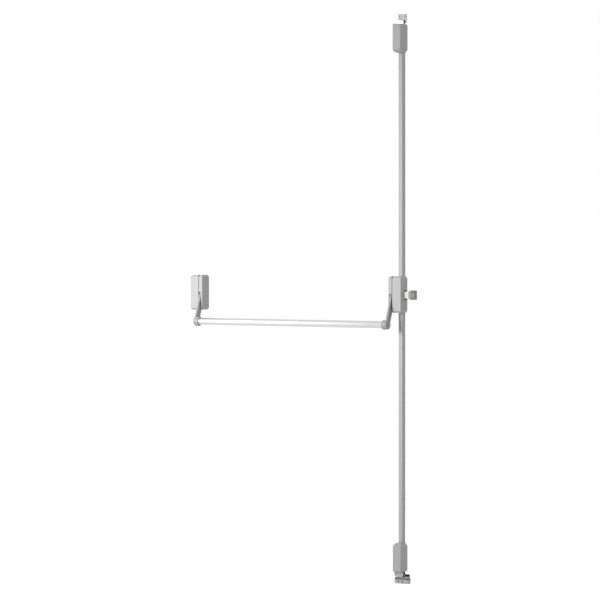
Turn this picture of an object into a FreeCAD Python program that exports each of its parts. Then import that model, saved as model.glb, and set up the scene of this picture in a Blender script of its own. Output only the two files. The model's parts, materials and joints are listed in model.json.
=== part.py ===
import FreeCAD, Part
import math
import os

Vector = FreeCAD.Vector

# A three-point push-bar exit device, in millimetres.
# Origin: middle of the lock case on the door face. +X to the latch edge of the door,
# +Y into the door, +Z up. The door face is the plane Y = 0.

# Layout on the door
case_spacing = 934.0            # between the middles of the two lever cases
end_case_distance = 943.5       # from the middle between the end cases to their rod ends
end_case_middle_z = -12.5       # the end cases mirror about this height

# Lever cases
case_width = 58.0
case_depth = 48.0
case_height = 141.0
case_wall = 2.0
case_bevel = 7.0
outer_edge_radius = 2.5         # upright front edge on the lever side
latch_edge_radius = 4.0         # upright front edge on the latch side
seam_x = -12.8                  # where the lever cover ends
seam_gap = 2.5
seam_return = 8.0               # depth of the flange turned in along the seam
seam_return_low = 2.4           # its depth beside the arm
slot_width = 10.0
slot_below_pivot = 17.0         # from the lever axle down to the top of the slot
slot_back = 13.0                # distance of the slot's back end from the door

# Levers and push bar
pivot_depth = 23.0              # lever axle, in front of the door
pivot_below_top = 51.2
arm_length = 144.0
arm_slant = 20.0                # degrees from upright, bar standing off the door
arm_thickness = 8.0
arm_width = 27.0
arm_edge = 1.2                  # chamfer round the arm
arm_pocket = 1.2                # depth of the shallow panel in each side of an arm
arm_rim = 4.5
push_angle = 15.0
boss_diameter = 37.0
boss_length = 22.0
boss_edge = 1.2
tube_diameter = 28.0
tube_wall = 1.5
socket_depth = 10.0
socket_clearance = 0.06
lever_axle_diameter = 8.0
bush_wall = 1.5
running_clearance = 0.05        # radial, of shafts in their bores
side_play = 0.2
clip_thickness = 1.0
clip_side = 12.0
axle_web = 4.5                  # of the axle between the two slots of its clip
crank_length = 31.0
cam_pin_diameter = 5.0
cam_pin_end = -3.0
ear_radius = 9.0
ear_thickness = 2.0

# Base plates
plate_thickness = 3.0
plate_clearance = 0.5           # to the inside of the cover
plate_end_gap = 2.5
plate_hole_diameter = 5.5
plate_hole_side = 8.5           # from the sides and the ends of the plate
plate_hole_end = 8.0
side_wall_thickness = 2.5
side_wall_height = 14.0
side_wall_end = 10.0            # from the end of the wall to the end of the plate
press_clearance = 0.05          # radial, of pressed and screwed pieces

# Rods and their covers
rod_x = 9.0
rod_depth = 10.0
rod_diameter = 8.0
rod_clearance = 0.08
rod_notch_width = 12.0
rod_notch_depth = 16.0
rod_cover_width = 22.0
rod_cover_depth = 18.5
rod_cover_wall = 1.5
rod_cover_radius = 6.0
rod_cover_lip = 3.0
rod_guide_length = 18.0
rod_guide_gap = 0.1
rod_travel = 11.0
rod_guide_step = 400.0          # between the two guides of a rod

# Slides, pinion and latch of the lock case
gear_module = 1.0
pinion_teeth = 16
pressure_angle = 20.0
flank_steps = 2                 # straight steps that draw each involute flank
addendum = 0.9
dedendum = 1.25
backlash = 0.06
pinion_z = -12.0
pinion_back = 8.0               # distances of the pinion's faces from the door
pinion_front = 20.0
post_diameter = 5.0
collar_flats = 8.0
slide_back = 8.0                # distances of the slide bars' faces from the door
slide_front = 12.0
drive_bar_width = 6.25
drive_bar_low = -39.0
drive_bar_rise = 4.0            # of the bar above its boss
lower_bar_width = 4.25
lower_bar_high = 14.0
cam_plate_thickness = 3.0
cam_plate_rim = 3.5
cam_slot_clearance = 0.3
rod_boss_side = 12.0            # square blocks that hold the rods
rod_boss_length = 12.0
drive_boss_gap = 2.0            # to the rod guides in the ends of the case
lower_boss_gap = 6.0
rod_boss_floor = 2.0
guide_wall = 2.4
guide_clearance = 0.1
drive_guides = ((19.0, 30.0), (-40.0, -31.5))
lower_guide = (7.0, 16.0)
lower_guide_bridge = 12.3
case_guide_length = 10.0
case_guide_width = 14.0
front_plate_thickness = 2.0
front_plate_left = -3.0
front_plate_right = 14.0
front_plate_low = -27.0
front_plate_high = 14.0
pillar_places = ((3.5, 8.5), (11.5, 8.5), (9.0, -25.5))
pillar_side = 4.5

# Latch bolt and its guide
latch_rear_gap = 3.0            # behind the side wall of the plate
latch_reach = 39.0              # beyond the side of the case
latch_front = 31.0
latch_back = 11.0
latch_low = -15.0
latch_high = 11.0
latch_bevel_length = 16.0
latch_bevel_depth = 14.0
latch_relief_reach = 7.0        # beyond the side of the case
latch_relief = 1.5
latch_pocket_reach = 2.5
latch_pocket_top = -2.0
latch_tail_back = 14.0
latch_tail_front = 19.0
latch_tail_high = 4.0
latch_tail_left = 1.0
latch_guide_front = 34.0
latch_guide_low = -21.0
latch_guide_high = 16.0
latch_guide_proud = 0.6
latch_guide_step = 23.0         # front of its part in the cover, from the door
latch_opening_gap = 0.5
latch_clearance = 0.1

# Springs, as the space that their coils fill
slide_spring_diameter = 10.0
latch_spring_diameter = 6.0
latch_spring_depth = 27.0
latch_spring_z = -6.0
bolt_spring_diameter = 12.4
bolt_spring_wire = 1.2

# End cases, bolts and guides
end_case_width = 42.0
end_case_height = 111.0
end_case_rod_bevel = 11.0
end_case_bolt_bevel = 4.0
end_case_radius = 8.0
end_case_wall = 2.0
end_wall_height = 14.0
end_wall_end = 15.5             # from the end of the wall to the end of the case
end_hole_end = 16.5             # from a fixing hole to the end of the case
end_hole_side = 8.0             # from a fixing hole to the side of the case
spring_tab_start = 9.0          # from the rod end of the case
spring_tab_thickness = 3.0
connector_start = 44.0
connector_length = 25.0
connector_flats = 12.0
bolt_width = 25.0
bolt_back = 6.0
bolt_front = 19.0
bolt_reach = 14.0               # of the upper bolt beyond its case
lower_bolt_reach = 14.5         # of the lower bolt beyond the foot guide
bolt_edge = 1.0
bolt_guide_width = 30.0
bolt_guide_front = 22.0
bolt_guide_end = 4.0            # from the bolt end of the case
bolt_guide_length = 22.0
bolt_opening_gap = 1.0
foot_guide_width = 38.6
foot_guide_depth = 33.0
foot_guide_height = 18.0
foot_guide_edge = 4.0
foot_guide_back = 6.0           # open at the back, round the bolt
foot_guide_taper = 4.3          # each side narrower at the back than at the front
foot_cover_thickness = 2.0

# Strikes
side_strike_width = 9.7
side_strike_gap = 3.7           # from the latch tip to the outer face of the strike
side_strike_front = 44.0
side_strike_rim = 5.0           # above and below the pocket, with its clearance
side_strike_wall = 2.0
side_strike_pocket_front = 36.0
strike_gap = 0.5                # between a bolt and the strike face behind it
strike_hole_diameter = 4.5
strike_edge = 1.5
top_strike_width = 36.0
top_strike_thickness = 5.0
top_strike_height = 36.0
top_strike_corner = 11.0        # radius of the two lower corners
top_strike_overlap = 10.0       # of the bolt tip over the strike
top_strike_hole_spacing = 26.0
top_pad_width = 20.0
top_pad_height = 12.0
floor_strike_height = 24.0
floor_strike_overlap = 10.0     # of the lower bolt in the pocket
floor_strike_width = 46.0
floor_hole_spacing = 26.0
floor_strike_front = 25.0
floor_strike_rear = 20.0        # reaches under the door
floor_strike_lid = 1.5
floor_strike_neck = 6.5
floor_strike_undercut = 3.5
floor_strike_step = 5.0         # back of its wide front, from the door
floor_strike_reach = 13.0       # of the front beyond the rest, on the latch side
floor_pad_height = 8.0
floor_pad_width = 24.0
floor_pad_inset = 4.0           # from the latch side of the strike
floor_pad_thickness = 3.0

# Lengths that follow from the layout
half_height = case_height / 2
half_width = case_width / 2
plate_half_x = half_width - case_wall - plate_clearance
plate_half_z = half_height - case_wall - plate_end_gap
plate_hole_x = plate_half_x - plate_hole_side
plate_hole_z = plate_half_z - plate_hole_end
pivot_z = half_height - pivot_below_top
slot_top = pivot_z - slot_below_pivot
bevel_inset = 2 - math.sqrt(2)
arm_outer_x = seam_x - (slot_width - arm_thickness) / 2
arm_inner_x = arm_outer_x - arm_thickness
bar_y = -pivot_depth - arm_length * math.sin(math.radians(arm_slant))
bar_z = pivot_z - arm_length * math.cos(math.radians(arm_slant))
wall_inner_x = plate_half_x - side_wall_thickness
inner_ear_x = seam_x + seam_gap
bush_radius = lever_axle_diameter / 2 + running_clearance + bush_wall
clip_x = inner_ear_x
axle_end = clip_x + clip_thickness + side_play + 1.0
upper_case_low = end_case_middle_z + end_case_distance
upper_case_high = upper_case_low + end_case_height
pitch_radius = gear_module * pinion_teeth / 2
tooth_pitch = math.pi * gear_module
drive_bar_right = rod_x - pitch_radius - dedendum
drive_bar_left = drive_bar_right - drive_bar_width
lower_bar_left = rod_x + pitch_radius + dedendum
case_guide_high = half_height - case_wall - plate_clearance
case_guide_low = case_guide_high - case_guide_length
drive_boss_high = case_guide_low - drive_boss_gap
drive_boss_low = drive_boss_high - rod_boss_length
drive_bar_high = drive_boss_high + drive_bar_rise
lower_boss_low = lower_boss_gap - case_guide_low
lower_boss_high = lower_boss_low + rod_boss_length
front_plate_back = pinion_front + latch_opening_gap
latch_rear = wall_inner_x + latch_rear_gap
latch_tip = half_width + latch_reach
latch_pocket_end = half_width + latch_pocket_reach
end_case_left = rod_x - end_case_width / 2
end_case_right = rod_x + end_case_width / 2
connector_low = upper_case_low + connector_start
bolt_low = connector_low + connector_length
spring_tab_high = upper_case_low + spring_tab_start + spring_tab_thickness
bolt_tip = upper_case_high + bolt_reach
lower_case_low = 2 * end_case_middle_z - upper_case_high
foot_guide_low = lower_case_low - foot_guide_height
lower_bolt_tip = foot_guide_low - lower_bolt_reach
side_strike_right = latch_tip + side_strike_gap
side_strike_left = side_strike_right - side_strike_width
side_strike_low = latch_low - side_strike_rim
side_strike_high = latch_high + side_strike_rim
top_strike_low = bolt_tip - top_strike_overlap
top_strike_top = top_strike_low + top_strike_height
floor_strike_top = lower_bolt_tip + floor_strike_overlap
floor_level = floor_strike_top - floor_strike_height
floor_strike_left = rod_x - floor_strike_width / 2
floor_strike_right = rod_x + floor_strike_width / 2


# Basic shapes

def to_space(axis, first, second, along):
    """Point from two flat coordinates and a place along the axis."""
    if axis == "x":
        return Vector(along, first, second)
    if axis == "y":
        return Vector(first, along, second)
    return Vector(first, second, along)


def corner_arc(before, corner, after, radius):
    """Start, middle and end of the arc that rounds one corner."""
    back = (before - corner).normalize()
    ahead = (after - corner).normalize()
    half_angle = math.acos(max(-1.0, min(1.0, back.dot(ahead)))) / 2
    reach = radius / math.tan(half_angle)
    inward = (back + ahead).normalize()
    middle = corner + inward * (radius / math.sin(half_angle) - radius)
    return corner + back * reach, middle, corner + ahead * reach


def rounded_wire(corners, radii):
    """Closed wire through the corners, each rounded by its own radius."""
    arcs = []
    for index, corner in enumerate(corners):
        after = corners[(index + 1) % len(corners)]
        arcs.append(corner_arc(corners[index - 1], corner, after, radii[index]))
    edges = []
    for index, (start, middle, end) in enumerate(arcs):
        if radii[index] > 0:
            edges.append(Part.Arc(start, middle, end).toShape())
        next_start = arcs[(index + 1) % len(arcs)][0]
        if end.distanceToPoint(next_start) > 1e-6:
            edges.append(Part.makeLine(end, next_start))
    return Part.Wire(edges)


def prism(axis, points, start, end, radius=0.0):
    """Flat outline pushed along an axis; radius is one value or one per corner."""
    radii = radius if isinstance(radius, (list, tuple)) else [radius] * len(points)
    corners = [to_space(axis, first, second, start) for first, second in points]
    face = Part.Face(rounded_wire(corners, radii))
    return face.extrude(to_space(axis, 0, 0, end - start))


def block(x_low, x_high, y_low, y_high, z_low, z_high):
    """Box between two corners."""
    corner = Vector(x_low, y_low, z_low)
    return Part.makeBox(x_high - x_low, y_high - y_low, z_high - z_low, corner)


def round_bar(axis, first, second, start, end, radius):
    """Cylinder along an axis between two places."""
    direction = to_space(axis, 0, 0, 1)
    return Part.makeCylinder(radius, end - start, to_space(axis, first, second, start), direction)


def join(pieces):
    """One solid from touching pieces."""
    return pieces[0].fuse(pieces[1:]).removeSplitter()


def tidy_cut(body, tools):
    """Body with the tools taken away."""
    return body.cut(tools).removeSplitter()


def group(solids):
    """Loose repeats of one piece, kept together."""
    return Part.makeCompound(solids)


def hinge_side(shape):
    """The same piece in the other lever case."""
    return shape.mirror(Vector(-case_spacing / 2, 0, 0), Vector(1, 0, 0))


def both_sides(shape):
    """A small piece and its repeat in the other lever case."""
    return group([shape, hinge_side(shape)])


def lower_end(shape):
    """The same piece at the lower end of the door."""
    return shape.mirror(Vector(0, 0, end_case_middle_z), Vector(0, 0, 1))


def octagon(x_low, x_high, z_low, z_high, bevels):
    """Front outline of a case with sloped corners, the low and the high pair."""
    low, high = bevels
    corners = [(x_low + low, z_low), (x_high - low, z_low), (x_high, z_low + low),
               (x_high, z_high - high), (x_high - high, z_high), (x_low + high, z_high),
               (x_low, z_high - high), (x_low, z_low + low)]
    return list(dict.fromkeys(corners))


def hexagon(x, y, flats):
    """Corners of a hexagon with the given width across flats."""
    reach = flats / math.sqrt(3)
    return [(x + reach * math.cos(math.radians(60 * corner)),
             y + reach * math.sin(math.radians(60 * corner))) for corner in range(6)]


# Cases and base plates

def case_block(x_range, depth, z_range, bevels, radii, back):
    """Block standing on the door, with sloped ends and rounded upright front edges."""
    x_low, x_high = x_range
    z_low, z_high = z_range
    low, high = bevels
    plan = [(x_low, back), (x_low, -depth), (x_high, -depth), (x_high, back)]
    side = [(back, z_low), (low - depth, z_low), (-depth, z_low + low),
            (-depth, z_high - high), (high - depth, z_high), (back, z_high)]
    front = octagon(x_low, x_high, z_low, z_high, bevels)
    body = prism("z", plan, z_low, z_high, [0, radii[0], radii[1], 0])
    body = body.common(prism("x", side, x_low, x_high))
    return body.common(prism("y", front, -depth, back))


def case_shell(x_range, depth, z_range, bevels, radii, wall):
    """Open-backed cover; upright edges too small for a round inside are square there."""
    outer = case_block(x_range, depth, z_range, bevels, radii, 0)
    inner_x = (x_range[0] + wall, x_range[1] - wall)
    inner_z = (z_range[0] + wall, z_range[1] - wall)
    inner_bevels = [bevel - bevel_inset * wall for bevel in bevels]
    inner_radii = [radius - wall if radius > 2 * wall else 0 for radius in radii]
    inner = case_block(inner_x, depth - wall, inner_z, inner_bevels, inner_radii, wall)
    return outer.cut(inner)


def lever_case_shell():
    """Whole cover of the lock case before it is parted along the seam."""
    return case_shell((-half_width, half_width), case_depth, (-half_height, half_height),
                      (case_bevel, case_bevel), (outer_edge_radius, latch_edge_radius),
                      case_wall)


def lever_cover():
    """Narrow cover over the lever, with the slot that the arm swings in."""
    half = block(-half_width, seam_x, -case_depth, 0, -half_height, half_height)
    turned_in = [(-case_depth, slot_top), (seam_return_low - case_depth, slot_top),
                 (seam_return - case_depth, pivot_z), (seam_return - case_depth, half_height),
                 (-case_depth, half_height)]
    inside = case_block((-half_width, half_width), case_depth, (-half_height, half_height),
                        (case_bevel, case_bevel), (outer_edge_radius, latch_edge_radius), 0)
    flange = prism("x", turned_in, seam_x - case_wall, seam_x).common(inside)
    slot = block(seam_x - slot_width, seam_x, -case_depth, -slot_back, -half_height, slot_top)
    cover = join([lever_case_shell().common(half), flange])
    return tidy_cut(cover, [slot])


def main_cover(openings):
    """Wide cover; openings are the cut-outs for the rods and the latch."""
    edge = seam_x + seam_gap
    half = block(edge, half_width, -case_depth, 0, -half_height, half_height)
    inside = case_block((-half_width, half_width), case_depth, (-half_height, half_height),
                        (case_bevel, case_bevel), (outer_edge_radius, latch_edge_radius), 0)
    flange = block(edge, edge + case_wall, -case_depth, seam_return - case_depth,
                   -half_height, half_height).common(inside)
    cover = join([lever_case_shell().common(half), flange])
    return tidy_cut(cover, openings) if openings else cover


def rod_notches():
    """Openings in both ends of the lock cover that the rods pass through."""
    left = rod_x - rod_notch_width / 2
    right = rod_x + rod_notch_width / 2
    return [block(left, right, -rod_notch_depth, 0, -half_height, half_height)]


def axle_ear(x_low, x_high):
    """Upright ear with sloped corners round the lever axle."""
    low = pivot_z - ear_radius
    high = pivot_z + ear_radius
    front = -pivot_depth - ear_radius
    slope = ear_radius * bevel_inset
    corners = [(0, low), (front + slope, low), (front, low + slope),
               (front, high - slope), (front + slope, high), (0, high)]
    return prism("x", corners, x_low, x_high)


def base_plate(wall_gaps):
    """Pressed plate with two side walls and the two ears of the lever axle."""
    inset = case_wall + plate_clearance
    bevel = case_bevel - bevel_inset * inset - plate_end_gap + plate_clearance
    outline = octagon(-plate_half_x, plate_half_x, -plate_half_z, plate_half_z, (bevel, bevel))
    pieces = [prism("y", outline, -plate_thickness, 0)]
    wall_half = plate_half_z - side_wall_end
    for x_low in (-plate_half_x, wall_inner_x):
        pieces.append(block(x_low, x_low + side_wall_thickness, -side_wall_height, 0,
                            -wall_half, wall_half))
    pieces.append(axle_ear(-plate_half_x, -wall_inner_x))
    pieces.append(axle_ear(inner_ear_x - ear_thickness, inner_ear_x))
    tools = [round_bar("x", -pivot_depth, pivot_z, -half_width, half_width,
                       lever_axle_diameter / 2 + press_clearance)]
    for x in (-plate_hole_x, plate_hole_x):
        for z in (-plate_hole_z, plate_hole_z):
            tools.append(round_bar("y", x, z, -plate_thickness, 0, plate_hole_diameter / 2))
    return tidy_cut(join(pieces), tools + wall_gaps)


# Levers, their bearings and the push bar

def along_arm(distance, side):
    """Point of the lever seen from the side: distance from the pivot, offset to the front."""
    slant = math.radians(arm_slant)
    y = -pivot_depth - distance * math.sin(slant) - side * math.cos(slant)
    z = pivot_z - distance * math.cos(slant) + side * math.sin(slant)
    return y, z


def along_crank(distance, side):
    """Point of the crank seen from the side: distance from the pivot, offset to the front."""
    lean = math.radians(push_angle / 2)
    y = -pivot_depth + distance * math.sin(lean) - side * math.cos(lean)
    z = pivot_z + distance * math.cos(lean) + side * math.sin(lean)
    return y, z


def arm_blade():
    """Flat arm with chamfered long edges and a shallow panel in each side."""
    half = arm_width / 2
    corners = [along_arm(0, -half), along_arm(arm_length, -half),
               along_arm(arm_length, half), along_arm(0, half)]
    blade = prism("x", corners, arm_inner_x, arm_outer_x)
    long_edges = [edge for edge in blade.Edges if abs(edge.Length - arm_length) < 1e-3]
    blade = blade.makeChamfer(arm_edge, long_edges)
    inset = half - arm_rim
    lower = arm_length - boss_diameter / 2 - arm_rim
    slope = arm_rim / 2
    panel = [along_arm(distance, side) for distance, side in octagon(
        arm_width, lower, -inset, inset, (slope, slope))]
    tools = [prism("x", panel, arm_inner_x, arm_inner_x + arm_pocket),
             prism("x", panel, arm_outer_x - arm_pocket, arm_outer_x)]
    return blade.cut(tools)


def bar_boss():
    """Round end of the arm that the bar tube plugs into."""
    inner_face = arm_outer_x - boss_length
    boss = round_bar("x", bar_y, bar_z, inner_face, arm_outer_x, boss_diameter / 2)
    rims = [edge for edge in boss.Edges if edge.Closed]
    return boss.makeChamfer(boss_edge, rims)


def bar_socket():
    """Bore of the round end that the bar tube sits in."""
    inner_face = arm_outer_x - boss_length
    return round_bar("x", bar_y, bar_z, inner_face, inner_face + socket_depth,
                     tube_diameter / 2 + socket_clearance)


def hub_ends():
    """Both faces of a lever hub, a little play away from the ears."""
    return side_play - wall_inner_x, inner_ear_x - ear_thickness - side_play


def lever(with_crank):
    """Lever arm; the one in the lock case also has a crank for the cam pin."""
    hub_low, hub_high = hub_ends()
    pieces = [arm_blade(), bar_boss()]
    pieces.append(round_bar("x", -pivot_depth, pivot_z, hub_low, hub_high, arm_width / 2))
    tools = [bar_socket(), round_bar("x", -pivot_depth, pivot_z, hub_low, hub_high,
                                     bush_radius + press_clearance)]
    if with_crank:
        root = arm_width / 2 - arm_edge
        eye = cam_pin_diameter + arm_edge
        sides = [along_crank(0, -root), along_crank(crank_length, -eye),
                 along_crank(crank_length, eye), along_crank(0, root)]
        pieces.append(prism("x", sides, arm_inner_x, arm_outer_x))
        pin_y, pin_z = along_crank(crank_length, 0)
        pieces.append(round_bar("x", pin_y, pin_z, arm_inner_x, arm_outer_x, eye))
        tools.append(round_bar("x", pin_y, pin_z, arm_inner_x, arm_outer_x,
                               cam_pin_diameter / 2 + press_clearance))
    return tidy_cut(join(pieces), tools)


def cam_pin():
    """Pin pressed into the crank, running in the slot of the drive slide."""
    y, z = along_crank(crank_length, 0)
    return round_bar("x", y, z, arm_inner_x, cam_pin_end, cam_pin_diameter / 2)


def lever_bush():
    """Plain bush pressed into the hub of a lever."""
    hub_low, hub_high = hub_ends()
    bush = round_bar("x", -pivot_depth, pivot_z, hub_low, hub_high, bush_radius)
    return bush.cut(round_bar("x", -pivot_depth, pivot_z, hub_low, hub_high,
                              lever_axle_diameter / 2 + running_clearance))


def lever_axle():
    """Axle through both ears, slotted from two sides for its clip."""
    radius = lever_axle_diameter / 2
    axle = round_bar("x", -pivot_depth, pivot_z, -plate_half_x, axle_end, radius)
    slots = [block(clip_x, clip_x + clip_thickness + side_play,
                   y, y + radius - axle_web / 2, pivot_z - radius, pivot_z + radius)
             for y in (-pivot_depth - radius, axle_web / 2 - pivot_depth)]
    return axle.cut(slots)


def axle_clip():
    """Forked plate in the slots of the lever axle."""
    low = clip_x + side_play / 2
    high = low + clip_thickness
    half = clip_side / 2
    plate = block(low, high, -pivot_depth - half, half - pivot_depth,
                  pivot_z - half, pivot_z + half)
    mouth = axle_web / 2 + press_clearance
    return plate.cut(block(low, high, -pivot_depth - mouth, mouth - pivot_depth,
                           pivot_z - lever_axle_diameter / 2, pivot_z + half))


def bar_tube():
    """Push bar tube, from socket to socket."""
    high = arm_outer_x - boss_length + socket_depth
    low = -case_spacing - high
    outer = round_bar("x", bar_y, bar_z, low, high, tube_diameter / 2)
    return outer.cut(round_bar("x", bar_y, bar_z, low, high, tube_diameter / 2 - tube_wall))


# Slides, pinion and latch

def rack_profile(low, high, back, first_tooth, teeth):
    """Rack outline: place along the travel, height from the pitch line to the pinion."""
    half_pitch_tooth = tooth_pitch / 4 - backlash / 2
    slope = math.tan(math.radians(pressure_angle))
    tip = half_pitch_tooth - addendum * slope
    root = half_pitch_tooth + dedendum * slope
    points = [(low, -back), (low, -dedendum)]
    for number in range(teeth):
        middle = first_tooth + number * tooth_pitch
        points += [(middle - root, -dedendum), (middle - tip, addendum),
                   (middle + tip, addendum), (middle + root, -dedendum)]
    return points + [(high, -dedendum), (high, -back)]


def drive_slide():
    """Slide driven by the cam pin: cam plate, rack and the boss of the upper rod."""
    profile = rack_profile(drive_bar_low, drive_bar_high, dedendum + drive_bar_width,
                           pinion_z - 2 * tooth_pitch, 8)
    pitch_x = rod_x - pitch_radius
    bar = prism("y", [(pitch_x + height, z) for z, height in profile], -slide_front, -slide_back)
    pieces = [bar, cam_plate()]
    pieces.append(block(drive_bar_left, rod_x, -slide_front, -slide_back,
                        drive_boss_low, drive_boss_high))
    pieces.append(rod_boss(drive_boss_low, drive_boss_high))
    bore = round_bar("z", rod_x, -rod_depth, drive_boss_low + rod_boss_floor, drive_boss_high,
                     rod_diameter / 2 + press_clearance)
    return tidy_cut(join(pieces), [bore, cam_slot(cam_pin_diameter / 2 + cam_slot_clearance)])


def rod_boss(low, high):
    """Square block of a slide round the end of its rod."""
    half = rod_boss_side / 2
    return block(rod_x - half, rod_x + half, -rod_depth - half, half - rod_depth, low, high)


def cam_ends():
    """Slot ends in the rest place: where the pin is unpushed, and where it will be pushed."""
    start = along_crank(crank_length, 0)
    lean = math.radians(push_angle / 2)
    end_y = -pivot_depth - crank_length * math.sin(lean)
    return start, (end_y, start[1] + rod_travel)


def cam_slot(radius):
    """Round-ended slanted slot through the cam plate, or its rim with a larger radius."""
    (start_y, start_z), (end_y, end_z) = cam_ends()
    left = drive_bar_left
    right = left + cam_plate_thickness
    length = math.hypot(end_y - start_y, end_z - start_z)
    side_y = -(end_z - start_z) / length * radius
    side_z = (end_y - start_y) / length * radius
    corners = [(start_y + side_y, start_z + side_z), (end_y + side_y, end_z + side_z),
               (end_y - side_y, end_z - side_z), (start_y - side_y, start_z - side_z)]
    return join([prism("x", corners, left, right),
                 round_bar("x", start_y, start_z, left, right, radius),
                 round_bar("x", end_y, end_z, left, right, radius)])


def cam_plate():
    """Upright plate of the drive slide round the cam slot."""
    rim = cam_pin_diameter / 2 + cam_slot_clearance + cam_plate_rim
    (start_y, _), _ = cam_ends()
    web = block(drive_bar_left, drive_bar_left + cam_plate_thickness, start_y, -slide_back,
                drive_boss_low, drive_bar_high)
    return join([cam_slot(rim), web])


def lower_slide():
    """Slide that the pinion lifts; it pulls the lower rod up."""
    profile = rack_profile(lower_boss_high, lower_bar_high, dedendum + lower_bar_width,
                           pinion_z - 5 * tooth_pitch, 8)
    pitch_x = rod_x + pitch_radius
    bar = prism("y", [(pitch_x - height, z) for z, height in profile], -slide_front, -slide_back)
    foot = block(rod_x, lower_bar_left + lower_bar_width, -slide_front, -slide_back,
                 lower_boss_low, lower_boss_high)
    bore = round_bar("z", rod_x, -rod_depth, lower_boss_low, lower_boss_high - rod_boss_floor,
                     rod_diameter / 2 + press_clearance)
    return tidy_cut(join([bar, foot, rod_boss(lower_boss_low, lower_boss_high)]), [bore])


def drive_pinion():
    """Involute pinion between the two slides and the latch tail."""
    base_radius = pitch_radius * math.cos(math.radians(pressure_angle))
    pitch_roll = math.tan(math.radians(pressure_angle)) - math.radians(pressure_angle)
    half_tooth = (tooth_pitch / 4 - backlash / 2) / pitch_radius
    tip_radius = pitch_radius + addendum
    flank = [(pitch_radius - dedendum, half_tooth + pitch_roll)]
    for step in range(flank_steps + 1):
        radius = base_radius + (tip_radius - base_radius) * step / flank_steps
        angle = math.acos(base_radius / radius)
        flank.append((radius, half_tooth + pitch_roll - math.tan(angle) + angle))
    points = []
    for tooth in range(pinion_teeth):
        middle = (tooth + 0.5) * 2 * math.pi / pinion_teeth
        polar = [(radius, middle - half) for radius, half in flank]
        polar += [(radius, middle + half) for radius, half in reversed(flank)]
        points += [(rod_x + radius * math.cos(angle), pinion_z + radius * math.sin(angle))
                   for radius, angle in polar]
    wheel = prism("y", points, -pinion_front, -pinion_back)
    bore = round_bar("y", rod_x, pinion_z, -pinion_front, -pinion_back,
                     post_diameter / 2 + running_clearance)
    return wheel.cut(bore)


def latch_bolt():
    """Bevelled side latch with a toothed tail over the pinion."""
    relief_end = half_width + latch_relief_reach
    nose = [(latch_rear, -latch_back - latch_relief), (latch_rear, -latch_front),
            (latch_tip - latch_bevel_length, -latch_front),
            (latch_tip, latch_bevel_depth - latch_front),
            (latch_tip, -latch_back), (relief_end, -latch_back),
            (relief_end, -latch_back - latch_relief)]
    body = prism("z", nose, latch_low, latch_high)
    pocket = block(latch_rear, latch_pocket_end, -pinion_front - latch_opening_gap, 0,
                   latch_low, latch_pocket_top)
    profile = rack_profile(latch_tail_left, latch_pocket_end,
                           latch_tail_high - pinion_z - pitch_radius,
                           rod_x - 2 * tooth_pitch, 6)
    pitch_z = pinion_z + pitch_radius
    tail = prism("y", [(x, pitch_z - height) for x, height in profile],
                 -latch_tail_front, -latch_tail_back)
    return join([body.cut(pocket), tail])


def latch_guide():
    """Sliding guide in the side of the lock case round the latch."""
    inner = block(wall_inner_x, half_width - case_wall, -latch_guide_front, -plate_thickness,
                  latch_guide_low, latch_guide_high)
    outer = block(half_width - case_wall, half_width + latch_guide_proud, -latch_guide_step,
                  -plate_thickness - 2 * latch_opening_gap,
                  latch_guide_low, latch_guide_high)
    window = block(wall_inner_x, half_width + latch_guide_proud,
                   -latch_front - latch_clearance, -latch_back + latch_clearance,
                   latch_low - latch_clearance, latch_high + latch_clearance)
    return tidy_cut(join([inner, outer]), [window])


def latch_openings():
    """Stepped opening in the cover round the latch and its guide, and one in the side wall."""
    low = latch_guide_low - latch_opening_gap
    high = latch_guide_high + latch_opening_gap
    behind = -plate_thickness - latch_opening_gap
    guide_opening = block(half_width - case_wall, half_width,
                          -latch_guide_step - latch_opening_gap, behind, low, high)
    bolt_opening = block(half_width - case_wall, half_width,
                         -latch_front - latch_opening_gap, behind,
                         latch_low - latch_opening_gap, latch_high + latch_opening_gap)
    wall_opening = block(wall_inner_x, plate_half_x, -side_wall_height, -plate_thickness,
                         low, high)
    return join([guide_opening, bolt_opening]), wall_opening


def mechanism_plate():
    """Front plate over the pinion, with bent seats for the two springs."""
    back = -front_plate_back
    front = back - front_plate_thickness
    pieces = [block(front_plate_left, front_plate_right, front, back,
                    front_plate_low, front_plate_high)]
    lug_left = rod_x - rod_boss_side / 2
    lug_right = rod_x + rod_boss_side / 2
    pieces.append(block(lug_left, lug_right, front, slide_spring_diameter / 2 - rod_depth,
                        front_plate_high - front_plate_thickness, front_plate_high))
    half = latch_spring_diameter / 2 + latch_opening_gap
    pieces.append(block(front_plate_left, front_plate_left + front_plate_thickness,
                        -latch_spring_depth - half, back,
                        latch_spring_z - half, latch_spring_z + half))
    holes = [round_bar("y", rod_x, pinion_z, front, back, post_diameter / 2 + press_clearance)]
    return tidy_cut(join(pieces), holes)


def mechanism_pillars():
    """Square pillars that carry the front plate."""
    half = pillar_side / 2
    return group([block(x - half, x + half, -front_plate_back, -plate_thickness,
                        z - half, z + half) for x, z in pillar_places])


def pinion_post():
    """Fixed post that the pinion turns on, with a hexagon collar behind the pinion."""
    front = -front_plate_back - front_plate_thickness
    collar_front = side_play - pinion_back
    post = round_bar("y", rod_x, pinion_z, front, collar_front, post_diameter / 2)
    collar = prism("y", hexagon(rod_x, pinion_z, collar_flats), collar_front, -plate_thickness)
    return join([post, collar])


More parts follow.
